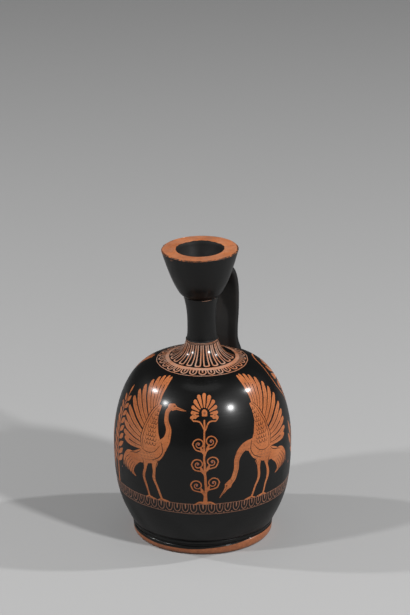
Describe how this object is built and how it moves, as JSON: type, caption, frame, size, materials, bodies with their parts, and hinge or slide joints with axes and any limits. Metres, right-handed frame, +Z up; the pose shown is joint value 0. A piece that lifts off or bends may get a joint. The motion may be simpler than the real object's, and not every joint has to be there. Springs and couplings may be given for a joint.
{
  "type": "squat lekythos",
  "caption": "Squat round-bodied oil flask of black-glossed clay with a narrow neck, a cup mouth, one strap handle, a low foot and a painted band of plants and birds.",
  "frame": {"origin": "centre of the ring on the underside that the flask stands on", "axes": "+Z up through the body, -Y towards the painted front, +X to the right in the front view; the handle stands 57 degrees from +X towards +Y"},
  "size_m": [0.1124, 0.1124, 0.1894],
  "materials": {
    "black_gloss": "thin black slip with a soft lustre over fired clay",
    "bare_clay": "burnished orange clay left bare between the black"
  },
  "bodies": {
    "root": {"foot": "black_gloss", "body": "black_gloss", "neck": "black_gloss", "mouth": "black_gloss", "handle": "black_gloss"}
  },
  "joints": []
}
